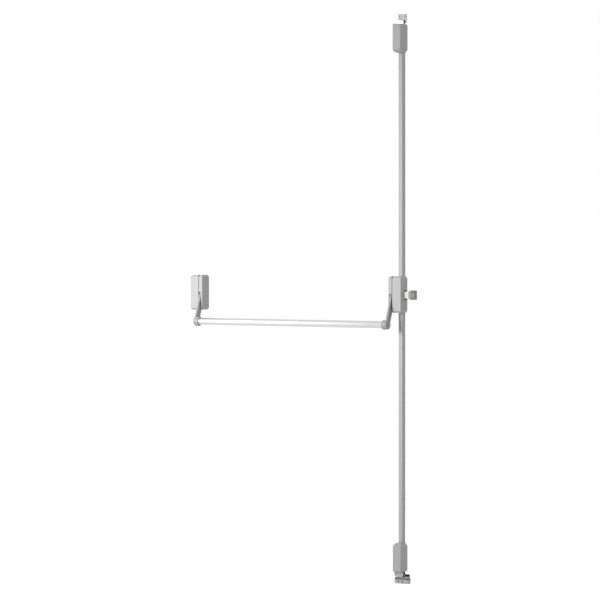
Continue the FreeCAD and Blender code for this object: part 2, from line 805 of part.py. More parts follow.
def slide_guides():
    """Channels that the two slides run in."""
    guides = []
    for low, high in drive_guides:
        body = block(drive_bar_left - guide_wall, drive_bar_right + guide_wall,
                     -slide_front - guide_wall + guide_clearance, -plate_thickness, low, high)
        channel = block(drive_bar_left - guide_clearance, drive_bar_right + guide_clearance,
                        -slide_front - guide_clearance, guide_clearance - slide_back, low, high)
        guides.append(body.cut(channel))
    low, high = lower_guide
    right = lower_bar_left + lower_bar_width
    body = block(lower_bar_left - guide_wall, wall_inner_x - guide_clearance,
                 -slide_front - guide_wall + guide_clearance, -plate_thickness, low, high)
    channel = block(lower_bar_left - guide_clearance, right + guide_clearance,
                    -slide_front - guide_clearance, guide_clearance - slide_back, low, high)
    front_open = block(lower_bar_left - guide_wall, wall_inner_x, -latch_front,
                       -slide_front - guide_clearance, low, lower_guide_bridge)
    guides.append(body.cut([channel, front_open]))
    return group(guides)


def case_rod_guides():
    """Blocks at both ends of the lock case that the rods slide in."""
    upper = block(rod_x - case_guide_width / 2, rod_x + case_guide_width / 2,
                  -rod_notch_depth, -plate_thickness, case_guide_low, case_guide_high)
    bore = round_bar("z", rod_x, -rod_depth, -half_height, half_height,
                     rod_diameter / 2 + rod_clearance)
    upper = upper.cut(bore)
    return group([upper, upper.mirror(Vector(0, 0, 0), Vector(0, 0, 1))])


# Springs

def slide_spring():
    """Return spring between the front plate and the drive slide."""
    return round_bar("z", rod_x, -rod_depth, front_plate_high, drive_boss_low,
                     slide_spring_diameter / 2)


def latch_spring():
    """Spring that pushes the latch bolt out."""
    return round_bar("x", -latch_spring_depth, latch_spring_z,
                     front_plate_left + front_plate_thickness, latch_rear,
                     latch_spring_diameter / 2)


def bolt_spring():
    """Spring round the upper rod between the spring tab and the connector."""
    bore = bolt_spring_diameter / 2 - bolt_spring_wire
    sleeve = round_bar("z", rod_x, -rod_depth, spring_tab_high, connector_low,
                       bolt_spring_diameter / 2)
    return sleeve.cut(round_bar("z", rod_x, -rod_depth, spring_tab_high, connector_low, bore))


# Rods and rod covers

def upper_rod():
    """Rod from the drive slide to the connector of the upper bolt."""
    return round_bar("z", rod_x, -rod_depth, drive_boss_low + rod_boss_floor,
                     connector_low + connector_length / 2 - side_play, rod_diameter / 2)


def lower_rod():
    """Rod from the lower slide down to the connector of the lower bolt."""
    low = 2 * end_case_middle_z - connector_low - connector_length / 2 + side_play
    return round_bar("z", rod_x, -rod_depth, low, lower_boss_high - rod_boss_floor,
                     rod_diameter / 2)


def rod_cover(low, high):
    """Channel over a rod, with narrow lips turned in along the door."""
    left = rod_x - rod_cover_width / 2
    right = rod_x + rod_cover_width / 2
    wall = rod_cover_wall
    plan = [(left, 0), (left, -rod_cover_depth), (right, -rod_cover_depth), (right, 0)]
    hollow = [(left + wall, -wall), (left + wall, wall - rod_cover_depth),
              (right - wall, wall - rod_cover_depth), (right - wall, -wall)]
    outer = prism("z", plan, low, high, [0, rod_cover_radius, rod_cover_radius, 0])
    inner_radius = rod_cover_radius - wall
    inner = prism("z", hollow, low, high, [0, inner_radius, inner_radius, 0])
    mouth = block(left + wall + rod_cover_lip, right - wall - rod_cover_lip, -wall, 0, low, high)
    return outer.cut([inner, mouth])


def rod_guides(low, high):
    """Two guide blocks clipped into a rod cover."""
    middle = (low + high) / 2
    half = rod_cover_width / 2 - rod_cover_wall - rod_guide_gap
    front = rod_cover_depth - rod_cover_wall - rod_guide_gap
    slope = rod_cover_radius - rod_cover_wall
    plan = [(rod_x - half, -rod_cover_wall), (rod_x - half, slope - front),
            (rod_x - half + slope, -front), (rod_x + half - slope, -front),
            (rod_x + half, slope - front), (rod_x + half, -rod_cover_wall)]
    guides = []
    for start in (middle - rod_guide_step / 2, middle + rod_guide_step / 2):
        end = start + rod_guide_length
        body = prism("z", plan, start, end)
        guides.append(body.cut(rod_fork(start, end, -rod_cover_wall)))
    return group(guides)


# End cases, described for the upper end

def end_cover():
    """Cover of an end case, open for the rod at one end and the bolt at the other."""
    cover = case_shell((end_case_left, end_case_right), case_depth,
                       (upper_case_low, upper_case_high),
                       (end_case_rod_bevel, end_case_bolt_bevel),
                       (end_case_radius, end_case_radius), end_case_wall)
    gap = bolt_opening_gap
    rod_opening = block(rod_x - rod_notch_width / 2, rod_x + rod_notch_width / 2,
                        -rod_notch_depth, 0, upper_case_low, upper_case_low + end_case_wall)
    bolt_opening = block(rod_x - bolt_width / 2 - gap, rod_x + bolt_width / 2 + gap,
                         -bolt_front - gap, gap - bolt_back,
                         upper_case_high - end_case_wall, upper_case_high)
    return tidy_cut(cover, [rod_opening, bolt_opening])


def rod_fork(low, high, open_side):
    """Round-bottomed notch for a rod, open towards the front or the door."""
    radius = rod_diameter / 2 + rod_clearance
    near, far = sorted((-rod_depth, open_side))
    mouth = block(rod_x - radius, rod_x + radius, near, far, low, high)
    return join([round_bar("z", rod_x, -rod_depth, low, high, radius), mouth])


def end_plate():
    """Base plate of an end case with its side walls and the spring tab."""
    inset = end_case_wall + plate_clearance
    left = end_case_left + inset
    right = end_case_right - inset
    bevels = (end_case_rod_bevel - bevel_inset * inset, end_case_bolt_bevel)
    outline = octagon(left, right, upper_case_low + inset, upper_case_high - inset, bevels)
    pieces = [prism("y", outline, -plate_thickness, 0)]
    for x_low in (left, right - ear_thickness):
        pieces.append(block(x_low, x_low + ear_thickness, -end_wall_height, 0,
                            upper_case_low + end_wall_end, upper_case_high - end_wall_end))
    pieces.append(block(rod_x - case_guide_width / 2, rod_x + case_guide_width / 2,
                        -rod_notch_depth, 0, spring_tab_high - spring_tab_thickness,
                        spring_tab_high))
    holes = [rod_fork(upper_case_low, spring_tab_high, -rod_notch_depth)]
    for x in (end_case_left + end_hole_side, end_case_right - end_hole_side):
        for z in (upper_case_low + end_hole_end, upper_case_high - end_hole_end):
            holes.append(round_bar("y", x, z, -plate_thickness, 0, plate_hole_diameter / 2))
    return tidy_cut(join(pieces), holes)


def bolt_window(low, high):
    """Space that a bolt slides in, with its side clearance."""
    gap = latch_clearance
    return block(rod_x - bolt_width / 2 - gap, rod_x + bolt_width / 2 + gap,
                 -bolt_front - gap, gap - bolt_back, low, high)


def bolt_guide():
    """Guide block round the bolt inside an end case."""
    high = upper_case_high - bolt_guide_end
    low = high - bolt_guide_length
    body = block(rod_x - bolt_guide_width / 2, rod_x + bolt_guide_width / 2,
                 -bolt_guide_front, -plate_thickness, low, high)
    return body.cut(bolt_window(low, high))


def connector():
    """Hexagonal sleeve that joins the rod to the stud of the bolt."""
    sleeve = prism("z", hexagon(rod_x, -rod_depth, connector_flats), connector_low, bolt_low)
    return sleeve.cut(round_bar("z", rod_x, -rod_depth, connector_low, bolt_low,
                                rod_diameter / 2 + press_clearance))


def bolt(tip_place):
    """Flat end bolt with chamfered tip edges and a stud."""
    body = block(rod_x - bolt_width / 2, rod_x + bolt_width / 2, -bolt_front, -bolt_back,
                 bolt_low, tip_place)
    tip = [edge for edge in body.Edges if abs(edge.BoundBox.ZMin - tip_place) < 1e-6]
    body = body.makeChamfer(bolt_edge, tip)
    stud = round_bar("z", rod_x, -rod_depth, connector_low + connector_length / 2, bolt_low,
                     rod_diameter / 2)
    return join([body, stud])


def foot_outline(front, back):
    """Plan of a foot block between two distances from the door."""
    left = rod_x - foot_guide_width / 2
    right = rod_x + foot_guide_width / 2
    return [(left + foot_guide_taper, -back), (left, -front), (right, -front),
            (right - foot_guide_taper, -back)]


def foot_guide():
    """Guide block under the lower end case."""
    front = foot_guide_depth - foot_cover_thickness
    body = prism("z", foot_outline(front, foot_guide_back), foot_guide_low, lower_case_low)
    return body.cut(bolt_window(foot_guide_low, lower_case_low))


def foot_cover():
    """Flat cover in front of the foot guide, with sloped lower corners."""
    left = rod_x - foot_guide_width / 2
    right = rod_x + foot_guide_width / 2
    face = octagon(left, right, foot_guide_low, lower_case_low, (foot_guide_edge, 0))
    return prism("y", face, -foot_guide_depth, foot_cover_thickness - foot_guide_depth)


# Strikes on the door frame and the floor

def side_strike():
    """Keeper beside the latch, open to it, with a window and two fixing holes."""
    back = latch_back - strike_gap
    plan = [(side_strike_left, 0), (side_strike_left, -side_strike_front),
            (side_strike_right, -side_strike_front), (side_strike_right, 0)]
    body = prism("z", plan, side_strike_low, side_strike_high)
    pocket = block(side_strike_left, side_strike_right - side_strike_wall,
                   -side_strike_pocket_front, -back,
                   latch_low - 2 * strike_gap, latch_high + 2 * strike_gap)
    middle = (side_strike_low + side_strike_high) / 2
    half = (side_strike_high - side_strike_low) / 4
    window = block(side_strike_right - side_strike_wall, side_strike_right,
                   -side_strike_pocket_front, -back - side_strike_wall,
                   middle - half, middle + half)
    holes = [round_bar("x", -back / 2, z, side_strike_left, side_strike_right,
                       strike_hole_diameter / 2) for z in (middle - half, middle + half)]
    return tidy_cut(body, [pocket, window] + holes)


def top_strike():
    """Plate behind the upper bolt, with two fixing holes and a seat for its pad."""
    left = rod_x - top_strike_width / 2
    right = rod_x + top_strike_width / 2
    face = [(left, top_strike_low), (right, top_strike_low),
            (right, top_strike_top), (left, top_strike_top)]
    plate = prism("y", face, -top_strike_thickness, 0,
                  [top_strike_corner, top_strike_corner, 0, 0])
    tools = [top_pad_block(0)]
    middle = (bolt_tip + top_strike_top) / 2 + strike_edge * 2
    for x in (rod_x - top_strike_hole_spacing / 2, rod_x + top_strike_hole_spacing / 2):
        tools.append(round_bar("y", x, middle, -top_strike_thickness, 0,
                               strike_hole_diameter / 2))
    return plate.cut(tools)


def top_pad_block(proud):
    """Wear pad let into the front of the top strike, standing proud of it."""
    low = top_strike_low + strike_edge
    return block(rod_x - top_pad_width / 2, rod_x + top_pad_width / 2,
                 -top_strike_thickness - proud, -top_strike_thickness / 2,
                 low, low + top_pad_height)


def top_strike_pad():
    """Pad that the back of the upper bolt bears on."""
    return top_pad_block(bolt_back - strike_gap - top_strike_thickness)


def strike_plan(inset):
    """Plan of the floor strike, with its front and sides drawn in by an inset."""
    left = floor_strike_left + inset
    right = floor_strike_right - inset
    far = floor_strike_right + floor_strike_reach - inset
    front = inset - floor_strike_front
    return [(left, front), (far, front), (far, -floor_strike_step),
            (right, -floor_strike_step), (right, floor_strike_rear), (left, floor_strike_rear)]


def floor_strike():
    """Casting on the floor: foot, set-back neck and lid with the bolt pocket."""
    lid_low = floor_strike_top - floor_strike_lid
    neck_low = lid_low - floor_strike_neck
    pieces = [prism("z", strike_plan(0), lid_low, floor_strike_top),
              prism("z", strike_plan(floor_strike_undercut), neck_low, lid_low),
              prism("z", strike_plan(0), floor_level, neck_low)]
    gap = strike_gap
    pocket = block(rod_x - bolt_width / 2 - bolt_opening_gap,
                   rod_x + bolt_width / 2 + bolt_opening_gap,
                   -bolt_front - bolt_opening_gap, gap - bolt_back,
                   lower_bolt_tip - bolt_opening_gap, floor_strike_top)
    holes = []
    hole_y = (floor_strike_rear - floor_pad_thickness) / 2
    for x in (rod_x - floor_hole_spacing / 2, rod_x + floor_hole_spacing / 2):
        holes.append(round_bar("z", x, hole_y, floor_level, floor_strike_top,
                               plate_hole_diameter / 2))
    return tidy_cut(join(pieces), [pocket] + holes)


def floor_strike_pad():
    """Stop pad standing on the rear edge of the floor strike."""
    right = floor_strike_right - floor_pad_inset
    return block(right - floor_pad_width, right, floor_strike_rear - floor_pad_thickness,
                 floor_strike_rear, floor_strike_top, floor_strike_top + floor_pad_height)


# All pieces

def all_pieces():
    """Every node of the device with its shape."""
    cover_opening, wall_opening = latch_openings()
    upper_pieces = {
        "upper_case_plate": end_plate(), "upper_case_cover": end_cover(),
        "upper_bolt_guide": bolt_guide(),
        "upper_bolt_spring": bolt_spring(), "upper_rod_connector": connector()}
    pieces = {
        "lock_base_plate": base_plate([wall_opening]),
        "lock_main_cover": main_cover(rod_notches() + [cover_opening]),
        "lock_lever_cover": lever_cover(),
        "lock_lever": lever(True),
        "cam_pin": cam_pin(),
        "hinge_base_plate": hinge_side(base_plate([])),
        "hinge_main_cover": hinge_side(main_cover([])),
        "hinge_lever_cover": hinge_side(lever_cover()),
        "hinge_lever": hinge_side(lever(False)),
        "lever_axles": both_sides(lever_axle()),
        "axle_clips": both_sides(axle_clip()),
        "lever_bushes": both_sides(lever_bush()),
        "bar_tube": bar_tube(),
        "mechanism_plate": mechanism_plate(),
        "mechanism_pillars": mechanism_pillars(),
        "pinion_post": pinion_post(),
        "drive_pinion": drive_pinion(),
        "drive_slide": drive_slide(),
        "lower_slide": lower_slide(),
        "slide_guides": slide_guides(),
        "case_rod_guides": case_rod_guides(),
        "slide_spring": slide_spring(),
        "latch_bolt": latch_bolt(),
        "latch_guide": latch_guide(),
        "latch_spring": latch_spring(),
        "upper_rod": upper_rod(),
        "upper_rod_cover": rod_cover(half_height, upper_case_low),
        "upper_rod_guides": rod_guides(half_height, upper_case_low),
        "upper_bolt": bolt(bolt_tip),
        "lower_rod": lower_rod(),
        "lower_rod_cover": rod_cover(2 * end_case_middle_z - upper_case_low, -half_height),
        "lower_rod_guides": rod_guides(2 * end_case_middle_z - upper_case_low, -half_height),
        "lower_bolt": lower_end(bolt(2 * end_case_middle_z - lower_bolt_tip)),
        "foot_guide": foot_guide(),
        "foot_cover": foot_cover(),
        "side_strike": side_strike(),
        "top_strike": top_strike(),
        "top_strike_pad": top_strike_pad(),
        "floor_strike": floor_strike(),
        "floor_strike_pad": floor_strike_pad()}
    for name, shape in upper_pieces.items():
        pieces[name] = shape
        pieces[name.replace("upper", "lower")] = lower_end(shape)
    return pieces


def main():
    """Write each piece to its own file."""
    os.makedirs("parts", exist_ok=True)
    for name, shape in all_pieces().items():
        shape.exportStep("parts/" + name + ".step")


if __name__ == "__main__":
    main()
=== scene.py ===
import json
import math

import bmesh
import bpy
from bpy.props import (FloatProperty, FloatVectorProperty, IntProperty, PointerProperty,
                       StringProperty)
from mathutils import Matrix, Vector


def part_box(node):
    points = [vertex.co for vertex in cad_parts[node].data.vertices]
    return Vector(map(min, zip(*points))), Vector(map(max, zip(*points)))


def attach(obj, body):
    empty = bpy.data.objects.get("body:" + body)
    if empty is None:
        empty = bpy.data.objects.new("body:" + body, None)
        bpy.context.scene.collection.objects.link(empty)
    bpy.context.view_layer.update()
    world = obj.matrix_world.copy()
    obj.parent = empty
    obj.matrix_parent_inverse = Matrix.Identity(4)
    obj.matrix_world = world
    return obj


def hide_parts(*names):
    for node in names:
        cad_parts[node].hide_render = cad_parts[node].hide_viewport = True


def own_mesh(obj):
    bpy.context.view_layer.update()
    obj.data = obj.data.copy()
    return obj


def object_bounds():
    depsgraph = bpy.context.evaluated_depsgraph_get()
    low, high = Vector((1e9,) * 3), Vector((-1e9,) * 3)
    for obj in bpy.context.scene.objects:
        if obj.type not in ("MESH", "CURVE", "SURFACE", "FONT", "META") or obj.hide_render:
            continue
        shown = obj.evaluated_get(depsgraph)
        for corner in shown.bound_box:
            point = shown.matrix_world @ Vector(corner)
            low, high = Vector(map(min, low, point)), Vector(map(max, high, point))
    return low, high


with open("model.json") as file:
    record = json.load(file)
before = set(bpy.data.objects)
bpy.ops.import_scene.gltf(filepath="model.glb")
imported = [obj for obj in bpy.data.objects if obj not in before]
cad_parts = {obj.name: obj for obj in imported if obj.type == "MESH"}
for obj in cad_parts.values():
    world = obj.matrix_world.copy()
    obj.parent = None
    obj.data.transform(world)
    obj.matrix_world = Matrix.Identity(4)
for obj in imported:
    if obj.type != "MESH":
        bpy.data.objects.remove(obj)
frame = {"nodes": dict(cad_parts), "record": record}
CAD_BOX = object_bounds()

bl_info = {
    "name": "Panic bar",
    "version": (1, 0, 0),
    "blender": (4, 5, 0),
    "location": "3D View > Sidebar > Panic bar",
    "description": "Finishes, fixings and studio of a push-bar exit device",
    "category": "Object",
}

MM = 0.001

# Noise of a finish: a stretch that is even in every direction, the weight of its finer
# layers, and the two values between which most of it lies
EVEN = (1, 1, 1)
FINER_WEIGHT = 0.55
MOST_NOISE = (0.3, 0.7)

# How far sideways a bolt's surface faces where the painted dark reflection on its flank starts
# and where it is full
PAINTED_REFLECTION_FLANK_EDGE = (0.72, 0.9)

# The two lever cases, each with the covers left and right of its seam
LEVER_CASES = (("lock", "lock_lever_cover", "lock_main_cover"),
               ("hinge", "hinge_main_cover", "hinge_lever_cover"))

# Pieces that show, with the wider rounding on their edges
OUTER_PIECES = (
    "lock_main_cover", "lock_lever_cover", "hinge_main_cover", "hinge_lever_cover",
    "upper_case_cover", "lower_case_cover", "upper_rod_cover", "lower_rod_cover",
    "lock_lever", "hinge_lever", "latch_bolt", "upper_bolt", "lower_bolt", "foot_cover",
    "foot_guide", "side_strike", "top_strike", "floor_strike")

# Nodes with a finish of their own, other than that of their slot
OWN_FINISHES = {"upper_bolt": "bolts", "lower_bolt": "bolts", "latch_bolt": "latch",
                "side_strike": "side_strike", "top_strike": "top_strike",
                "foot_cover": "silver_cover"}

# Each spring with its axis, the joint that presses it and its end that stays in place
SPRINGS = (("slide_spring", "z", "upper_rod", "low"),
           ("upper_bolt_spring", "z", "upper_rod", "low"),
           ("lower_bolt_spring", "z", "lower_rod", "high"),
           ("latch_spring", "x", "latch", "low"))

# Steps of a coil: rings in a turn, points in a ring and the turns that lie flat at each end
COIL_STEPS = 28
WIRE_SIDES = 8
FLAT_TURNS = 1.5
FLAT_TURN_RISE = 1.05          # of a flat turn, as a share of the wire

# Outline of a screw from its tip up: each radius as a share of the head's radius, and each
# height as a share of the head's rise
SCREW_SIDES = 24
SCREW_OUTLINE = ((0.5, -2.5), (0.5, 0.0), (1.0, 0.0), (1.0, 0.3), (0.9, 0.72), (0.7, 1.0))
RECESS_DEPTH = 1.6             # as a share of the head's rise
CROSS_ARM = 1 / 7              # half width of a cross recess's arms, as a share of its length
CROSS_TAPER = 0.62             # floor of a cross recess, as a share of its mouth
SOCKET_TAPER = 0.9             # floor of a hexagon socket, as a share of its mouth
SMALL_SCREW = 0.9              # radius of a small screw, as a share of the usual one

# Axes that screws point along
LEFT = (-1, 0, 0)
RIGHT = (1, 0, 0)
FRONT = (0, -1, 0)
UP = (0, 0, 1)
DOWN = (0, 0, -1)


# Settings that a user would change

class CoatSettings(bpy.types.PropertyGroup):
    """Painted and coated parts."""
    cover_colour: StringProperty(
        name="Cover colour", description="Powder coat of the covers, sRGB hex",
        default="CBCBCB")
    lever_colour: StringProperty(
        name="Lever colour", description="Powder coat of the levers, sRGB hex",
        default="B8B8B9")
    strike_colour: StringProperty(
        name="Strike colour", description="Grey paint of the floor strike, sRGB hex",
        default="CFCFCF")
    side_strike_colour: StringProperty(
        name="Side strike colour", description="Grey paint of the side strike, sRGB hex",
        default="AAAAA4")
    top_strike_colour: StringProperty(
        name="Top strike colour", description="Pale grey paint of the top strike, sRGB hex",
        default="EAEAEA")
    end_colour: StringProperty(
        name="End case colour", description="Powder coat of the end cases, sRGB hex",
        default="C6C6C6")
    peel_size: FloatProperty(
        name="Orange peel", description="Spacing of the dimples in the powder coat",
        default=1.4 * MM, unit="LENGTH")
    coat_roughness: FloatProperty(
        name="Coat roughness", description="Roughness of the powder coat",
        default=0.42, subtype="FACTOR")


class MetalSettings(bpy.types.PropertyGroup):
    """Bare and plated metal parts."""
    bar_colour: StringProperty(
        name="Bar colour", description="Satin anodised aluminium of the bar, sRGB hex",
        default="D4D4D4")
    zinc_colour: StringProperty(
        name="Zinc colour", description="Zinc plating of plates and slides, sRGB hex",
        default="B4B8BB")
    nickel_colour: StringProperty(
        name="Nickel colour", description="Nickel plating of bolts and rods, sRGB hex",
        default="C8C8C4")
    latch_colour: StringProperty(
        name="Latch colour", description="Satin nickel of the cast latch, sRGB hex",
        default="E1E1DC")
    # Colour of the painted dark reflection on the bolts' flanks
    painted_reflection_flank_colour: StringProperty(
        name="Painted flank reflection", description="Painted dark reflection on the flanks of the bolts, sRGB hex",
        default="2A2A2B")
    gear_colour: StringProperty(
        name="Gear colour", description="Machined steel of the pinion, sRGB hex",
        default="9A9B9C")
    wire_colour: StringProperty(
        name="Wire colour", description="Dark steel of springs, clips and screws, sRGB hex",
        default="77797C")
    bronze_colour: StringProperty(
        name="Bronze colour", description="Sintered bronze of the bushes, sRGB hex",
        default="B08A52")
    # The real lines are about 0.1 mm apart. They are drawn coarser, so that they show.
    line_spacing: FloatProperty(
        name="Brush lines", description="Spacing of the fine lines in drawn and brushed metal",
        default=0.9 * MM, unit="LENGTH")


class PlasticSettings(bpy.types.PropertyGroup):
    """Nylon and rubber parts."""
    black_colour: StringProperty(
        name="Black nylon", description="Black moulded nylon of the guides, sRGB hex",
        default="1E1F20")
    # Grey of the painted shade in the floor strike's neck
    grey_colour: StringProperty(
        name="Grey nylon", description="Grey nylon that paints the shade in the floor strike's neck, sRGB hex",
        default="66676A")
    white_colour: StringProperty(
        name="Natural nylon", description="Natural moulded nylon of the inner guides, sRGB hex",
        default="DEDBD0")
    rubber_colour: StringProperty(
        name="Rubber", description="Rubber of the strike pads, sRGB hex",
        default="38393A")
    # The real texture is about 0.1 mm. It is drawn coarser, so that it shows.
    texture_size: FloatProperty(
        name="Mould texture", description="Spacing of the spark-eroded mould texture",
        default=0.8 * MM, unit="LENGTH")


class ScrewSettings(bpy.types.PropertyGroup):
    """Screws of the covers, the strikes and the bar sockets."""
    cover_diameter: FloatProperty(
        name="Cover screw head", description="Head diameter of the screws in the covers",
        default=6.0 * MM, unit="LENGTH")
    strike_diameter: FloatProperty(
        name="Strike screw head", description="Head diameter of the screws in the strikes",
        default=8.0 * MM, unit="LENGTH")
    grub_diameter: FloatProperty(
        name="Grub screw", description="Diameter of the screws under the bar sockets",
        default=6.0 * MM, unit="LENGTH")
    head_rise: FloatProperty(
        name="Head height", description="Height of a head above its surface",
        default=1.1 * MM, unit="LENGTH")
    recess_share: FloatProperty(
        name="Recess width", description="Width of the recess as a share of the head",
        default=0.55, subtype="FACTOR")
    cover_depth: FloatProperty(
        name="Cover screw depth", description="Distance of the cover screws from the door",
        default=9.0 * MM, unit="LENGTH")
    cover_end: FloatProperty(
        name="Cover screw end", description="Distance of the cover screws from the case's ends",
        default=18.5 * MM, unit="LENGTH")
    foot_inset: FloatProperty(
        name="Foot screw inset", description="Distance of the foot's screw from its left side",
        default=6.0 * MM, unit="LENGTH")
    foot_drop: FloatProperty(
        name="Foot screw drop", description="Distance of the foot's screw from its top",
        default=7.8 * MM, unit="LENGTH")
    grub_inset: FloatProperty(
        name="Grub screw inset", description="Distance of a grub screw from the tube's end",
        default=5.0 * MM, unit="LENGTH")
    clamp_inset: FloatProperty(
        name="Clamp screw inset", description="Distance of the first clamp screw from the left",
        default=17.0 * MM, unit="LENGTH")
    clamp_step: FloatProperty(
        name="Clamp screw step", description="Distance between the two clamp screws",
        default=19.0 * MM, unit="LENGTH")
    clamp_rise: FloatProperty(
        name="Clamp screw height", description="Height of the clamp screws above the floor",
        default=9.0 * MM, unit="LENGTH")


class SpringSettings(bpy.types.PropertyGroup):
    """Wire and turns of the compression springs."""
    bolt_wire: FloatProperty(
        name="Bolt spring wire", description="Wire of the rod and bolt springs",
        default=1.2 * MM, unit="LENGTH")
    latch_wire: FloatProperty(
        name="Latch spring wire", description="Wire of the latch spring",
        default=0.8 * MM, unit="LENGTH")
    bolt_turns: IntProperty(
        name="Bolt spring turns", description="Turns of a rod or bolt spring", default=9)
    latch_turns: IntProperty(
        name="Latch spring turns", description="Turns of the latch spring", default=10)


class EdgeSettings(bpy.types.PropertyGroup):
    """Rounding of the edges, as coating and tumbling leave them."""
    outer_radius: FloatProperty(
        name="Outer edges", description="Rounding of the pieces that show",
        default=0.5 * MM, unit="LENGTH")
    inner_radius: FloatProperty(
        name="Inner edges", description="Rounding of the pieces inside the cases",
        default=0.15 * MM, unit="LENGTH")
    corner_gap: FloatProperty(
        name="Corner gap", description="Points nearer than this are one corner",
        default=0.001 * MM, unit="LENGTH", precision=6)
    flat_angle: FloatProperty(
        name="Flat angle", description="Faces that lean less than this are one flat",
        default=math.radians(0.2), subtype="ANGLE")
    sharp_angle: FloatProperty(
        name="Sharp angle", description="Edges that bend more than this are rounded",
        default=math.radians(32), subtype="ANGLE")


class StripSettings(bpy.types.PropertyGroup):
    """Black strips of painted shade in the seams and the dark strip of painted shade in the floor
    strike's neck.
    """
    seam_clearance: FloatProperty(
        name="Seam clearance", description="Gap between a seam strip and each cover",
        default=0.05 * MM, unit="LENGTH")
    seam_front: FloatProperty(
        name="Seam strip front", description="Depth of a seam strip's front in its seam",
        default=1.0 * MM, unit="LENGTH")
    seam_back: FloatProperty(
        name="Seam strip back", description="Depth of a seam strip's back in its seam",
        default=5.0 * MM, unit="LENGTH")
    seam_low: FloatProperty(
        name="Seam strip foot", description="Height of a seam strip's foot above the middle",
        default=3.0 * MM, unit="LENGTH")
    seam_top: FloatProperty(
        name="Seam strip top", description="Distance of a seam strip from the case's top",
        default=0.4 * MM, unit="LENGTH")
    neck_drop: FloatProperty(
        name="Strip drop", description="Distance of the floor strike's strip from its top",
        default=1.6 * MM, unit="LENGTH")
    neck_height: FloatProperty(
        name="Strip height", description="Height of the floor strike's strip",
        default=6.3 * MM, unit="LENGTH")
    neck_inset: FloatProperty(
        name="Strip inset", description="Distance of the strip behind the strike's faces",
        default=0.8 * MM, unit="LENGTH")
    neck_thickness: FloatProperty(
        name="Strip thickness", description="Thickness of the floor strike's strip",
        default=2.5 * MM, unit="LENGTH")
    neck_return: FloatProperty(
        name="Strip return", description="Length of the strip round the latch side",
        default=17.0 * MM, unit="LENGTH")


class StudioSettings(bpy.types.PropertyGroup):
    """Camera, lights and floor."""
    key_power: FloatProperty(
        name="Key light", description="Power of the large soft light",
        default=600.0, unit="POWER")
    key_beam: FloatProperty(
        name="Key beam", description="Full angle of the key light's soft-edged beam",
        default=math.radians(44), subtype="ANGLE")
    key_radius: FloatProperty(
        name="Key size", description="Radius of the key light", default=0.9, unit="LENGTH")
    key_place: FloatVectorProperty(
        name="Key place", description="Place of the key light",
        default=(-2.2, -3.9, 0.9), subtype="TRANSLATION", unit="LENGTH")
    key_aim: FloatVectorProperty(
        name="Key aim", description="Place that the key light points at",
        default=(-0.76, 0.0, -0.04), subtype="TRANSLATION", unit="LENGTH")
    sky_strength: FloatProperty(
        name="Room light", description="Even light from the whole room", default=0.43)
    floor_size: FloatProperty(
        name="Floor size", description="Side of the square floor", default=60.0, unit="LENGTH")
    floor_colour: StringProperty(
        name="Floor colour", description="White of the studio floor, sRGB hex",
        default="E6E6E6")
    floor_lift: FloatProperty(
        name="Floor lift", description="Light that lifts the floor to white where it is seen",
        default=0.72)
    lens: FloatProperty(
        name="Lens", description="Focal length of the camera", default=150.0, unit="CAMERA")
    lens_shift: FloatProperty(
        name="Lens shift", description="Upward shift of the picture as a share of its width",
        default=-1 / 12)
    eye_place: FloatVectorProperty(
        name="Camera place", description="Place of the camera",
        default=(4.9314, -8.3091, 0.17145), subtype="TRANSLATION", unit="LENGTH")
    eye_turn: FloatVectorProperty(
        name="Camera turn", description="Turn of the camera about X, Y and Z",
        default=(math.radians(90), 0.0, math.radians(33)), subtype="EULER")


class PanicBarSettings(bpy.types.PropertyGroup):
    """All settings of the device."""
    coats: PointerProperty(type=CoatSettings, name="Coats", description="Painted parts")
    metals: PointerProperty(type=MetalSettings, name="Metals", description="Bare metal parts")
    plastics: PointerProperty(type=PlasticSettings, name="Plastics",
                              description="Nylon and rubber parts")
    screws: PointerProperty(type=ScrewSettings, name="Screws", description="Screw heads")
    springs: PointerProperty(type=SpringSettings, name="Springs", description="Springs")
    edges: PointerProperty(type=EdgeSettings, name="Edges", description="Rounding of edges")
    strips: PointerProperty(type=StripSettings, name="Strips", description="Dark thin strips")
    studio: PointerProperty(type=StudioSettings, name="Studio", description="Camera and light")


# Small tools

def linear(code):
    """Linear RGBA of an sRGB hex colour."""
    values = [int(code[place:place + 2], 16) / 255 for place in (0, 2, 4)]
    return [value / 12.92 if value <= 0.04045 else ((value + 0.055) / 1.055) ** 2.4
            for value in values] + [1.0]


def shade(code, factor):
    """The colour made lighter or darker by a factor."""
    return [min(1.0, value * factor) for value in linear(code)[:3]] + [1.0]


def add_node(tree, kind, inputs=None, **settings):
    """Add a node with its settings; an input is a value or the socket that feeds it."""
    node = tree.nodes.new(kind)
    for name, value in settings.items():
        setattr(node, name, value)
    for name, value in (inputs or {}).items():
        if isinstance(value, bpy.types.NodeSocket):
            tree.links.new(value, node.inputs[name])
        else:
            node.inputs[name].default_value = value
    return node


def empty_material(name):
    """Node material without nodes, and its tree."""
    material = bpy.data.materials.new(name)
    material.use_nodes = True
    material.node_tree.nodes.clear()
    return material, material.node_tree


